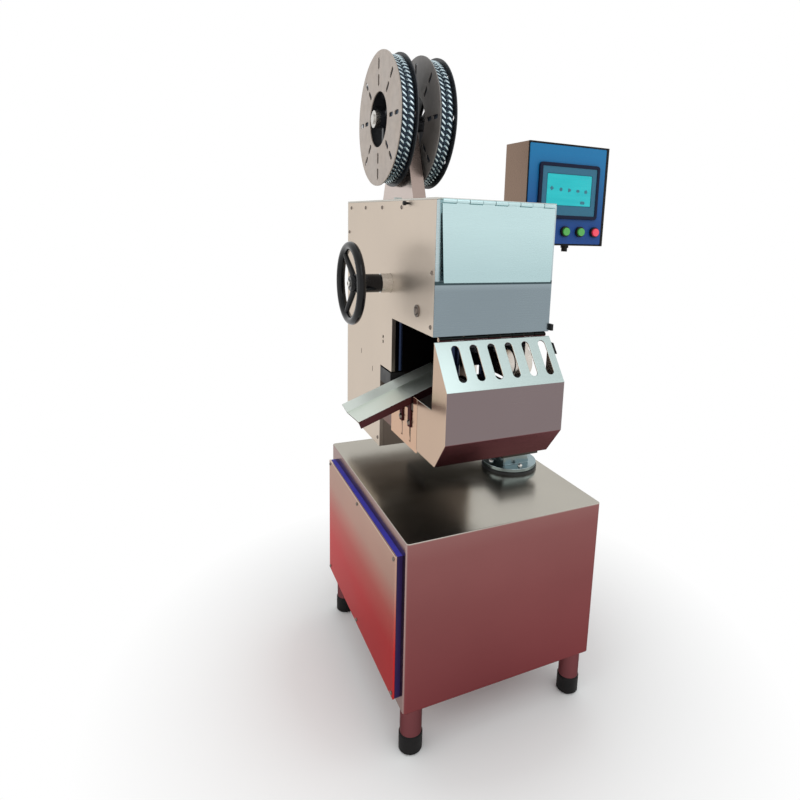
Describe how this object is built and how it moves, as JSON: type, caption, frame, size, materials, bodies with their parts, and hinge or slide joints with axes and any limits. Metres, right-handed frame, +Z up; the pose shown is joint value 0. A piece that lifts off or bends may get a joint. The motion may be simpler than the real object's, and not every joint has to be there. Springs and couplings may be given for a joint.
{
  "type": "sausage clipper",
  "caption": "Floor-standing sausage clipper: steel cabinet, swivelling clipping head with hinged guard and flap, handwheel, clip reels, outlet chute and a control box on an arm.",
  "frame": {"origin": "centre of the cabinet's footprint, on the floor under the feet", "axes": "+Z up, the guard and flap face -Y, the handwheel and outlet chute face -X"},
  "size_m": [0.8213, 0.724, 1.597],
  "materials": {
    "stainless": "brushed stainless steel",
    "cover_steel": "fine brushed stainless sheet",
    "dark_steel": "blackened steel",
    "bright_steel": "bright turned steel",
    "cast_grey": "grey machine enamel",
    "rubber_black": "black rubber",
    "gasket_blue": "blue silicone",
    "bakelite": "glossy black",
    "black_plastic": "matte black",
    "reel_fibre": "grey-beige fibre board",
    "clip_alu": "bright aluminium clips",
    "track_brass": "plain brass",
    "panel_blue": "blue panel",
    "hmi_grey": "blue-grey plastic",
    "button_green": "green",
    "button_red": "red",
    "gear_plastic": "light grey housings",
    "bracket_brown": "dark brown bracket"
  },
  "bodies": {
    "base": {"base_cabinet": "stainless", "side_cover": "stainless", "cover_gasket": "gasket_blue", "cover_screws": "bright_steel", "legs": "stainless", "feet": "rubber_black", "mounting_plate": "stainless", "electrical_gear": "gear_plastic", "swivel_ring": "dark_steel"},
    "head": {"swivel_column": "bright_steel", "flange_bolts": "bright_steel", "bed_plate": "stainless", "left_side_plate": "stainless", "right_side_plate": "stainless", "inner_liner": "dark_steel", "front_panel": "cover_steel", "top_cover": "cover_steel", "rear_cover": "cover_steel", "plate_screws": "bright_steel", "flap_hinge": "cover_steel", "guard_hinge": "cover_steel", "interlock_switch": "black_plastic", "skirt_plate": "stainless", "skirt_bracket": "bracket_brown", "shaft_bearing": "bright_steel", "gearbox": "cast_grey", "drive_motor": "cast_grey", "guide_columns": "bright_steel", "lower_jaw": "dark_steel", "reel_post": "stainless", "reel_shaft": "bright_steel", "reel_stops": "dark_steel", "clip_tracks": "track_brass", "box_arm": "stainless"},
    "flap": {"front_flap": "cover_steel"},
    "guard": {"front_guard": "cover_steel", "interlock_key": "black_plastic"},
    "outlet": {"chute": "cover_steel", "chute_screws": "bright_steel"},
    "wheel": {"main_shaft": "bright_steel", "handwheel": "bakelite"},
    "punch": {"punch_block": "bright_steel", "clip_punches": "bright_steel"},
    "die": {"die_block": "bright_steel"},
    "reel_1": {"reel_1_flanges": "reel_fibre", "reel_1_drum": "dark_steel", "reel_1_clips": "clip_alu"},
    "reel_2": {"reel_2_flanges": "reel_fibre", "reel_2_drum": "dark_steel", "reel_2_clips": "clip_alu"},
    "controls": {"box_bracket": "dark_steel", "control_box": "stainless", "panel_seal": "rubber_black", "control_panel": "panel_blue", "operator_screen": "hmi_grey", "button_bezels": "bright_steel", "cable_gland": "black_plastic"},
    "start_button": {"start_button": "button_green"},
    "cycle_button": {"cycle_button": "button_green"},
    "stop_button": {"stop_button": "button_red"}
  },
  "joints": [
    {"name": "head_swivel", "type": "hinge", "parent": "base", "child": "head", "pos_m": [0.16, -0.019, 0.54], "axis": [0, 0, 1], "range_deg": [-45, 45]},
    {"name": "flap_lift", "type": "hinge", "parent": "head", "child": "flap", "pos_m": [-0.054, -0.2769, 1.2161], "axis": [-1, 0, 0], "range_deg": [0, 100]},
    {"name": "guard_lift", "type": "hinge", "parent": "head", "child": "guard", "pos_m": [-0.054, -0.272, 0.9431], "axis": [-1, 0, 0], "range_deg": [0, 95]},
    {"name": "chute_height", "type": "slide", "parent": "head", "child": "outlet", "axis": [0, 0, 1], "range_m": [-0.01, 0.01]},
    {"name": "handwheel_turn", "type": "hinge", "parent": "head", "child": "wheel", "pos_m": [-0.287, -0.012, 1.03], "axis": [1, 0, 0], "continuous": true},
    {"name": "punch_stroke", "type": "slide", "parent": "head", "child": "punch", "axis": [0, 0, 1], "range_m": [-0.03, 0]},
    {"name": "die_stroke", "type": "slide", "parent": "head", "child": "die", "axis": [0, 0, 1], "range_m": [0, 0.03]},
    {"name": "reel_1_spin", "type": "hinge", "parent": "head", "child": "reel_1", "pos_m": [-0.127, 0.215, 1.43], "axis": [1, 0, 0], "continuous": true},
    {"name": "reel_2_spin", "type": "hinge", "parent": "head", "child": "reel_2", "pos_m": [-0.025, 0.215, 1.43], "axis": [1, 0, 0], "continuous": true},
    {"name": "control_box_swivel", "type": "hinge", "parent": "head", "child": "controls", "pos_m": [0.372, 0.25, 1.11], "axis": [0, 0, 1], "range_deg": [-40, 40]},
    {"name": "start_button_press", "type": "slide", "parent": "controls", "child": "start_button", "axis": [0, 1, 0], "range_m": [0, 0.004], "stiffness_N_per_m": 600, "springref_m": -0.001},
    {"name": "cycle_button_press", "type": "slide", "parent": "controls", "child": "cycle_button", "axis": [0, 1, 0], "range_m": [0, 0.004], "stiffness_N_per_m": 600, "springref_m": -0.001},
    {"name": "stop_button_press", "type": "slide", "parent": "controls", "child": "stop_button", "axis": [0, 1, 0], "range_m": [0, 0.004], "stiffness_N_per_m": 600, "springref_m": -0.001}
  ],
  "couplings": [
    {"joint": "die_stroke", "follows": "punch_stroke", "ratio": -1}
  ]
}
